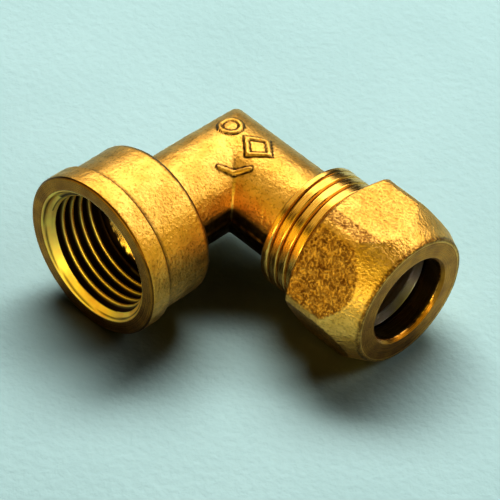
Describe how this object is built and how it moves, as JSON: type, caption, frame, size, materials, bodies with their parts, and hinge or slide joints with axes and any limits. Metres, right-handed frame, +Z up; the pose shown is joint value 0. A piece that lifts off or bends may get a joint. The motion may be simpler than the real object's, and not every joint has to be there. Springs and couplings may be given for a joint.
{
  "type": "compression elbow fitting",
  "caption": "Brass 90 degree pipe elbow with a female threaded socket and a compression end: hexagon union nut with a cone front, and olive.",
  "frame": {"origin": "middle of the bounding box on its lowest plane, under the elbow's two level axes", "axes": "+Z up; the female socket's mouth faces -Y; the compression nut's end face faces +X"},
  "size_m": [0.0512, 0.043, 0.0266],
  "materials": {
    "cast_brass": "sand-cast brass, fine grain, with turned and threaded ends",
    "nut_brass": "tumbled brass with a fine pitted grain, turned end face",
    "olive_brass": "smooth turned brass"
  },
  "bodies": {
    "body": {"elbow_body": "cast_brass"},
    "olive": {"olive": "olive_brass"},
    "nut": {"compression_nut": "nut_brass"}
  },
  "joints": [
    {"name": "nut_turn", "type": "hinge", "parent": "olive", "child": "nut", "pos_m": [0.01865, 0.00802, 0.0133], "axis": [1, 0, 0], "range_deg": [0, 900]},
    {"name": "nut_travel", "type": "slide", "parent": "body", "child": "olive", "axis": [1, 0, 0], "range_m": [0, 0.0046]}
  ],
  "couplings": [
    {"joint": "nut_travel", "follows": "nut_turn", "m_per_rad": 0.00028875}
  ]
}
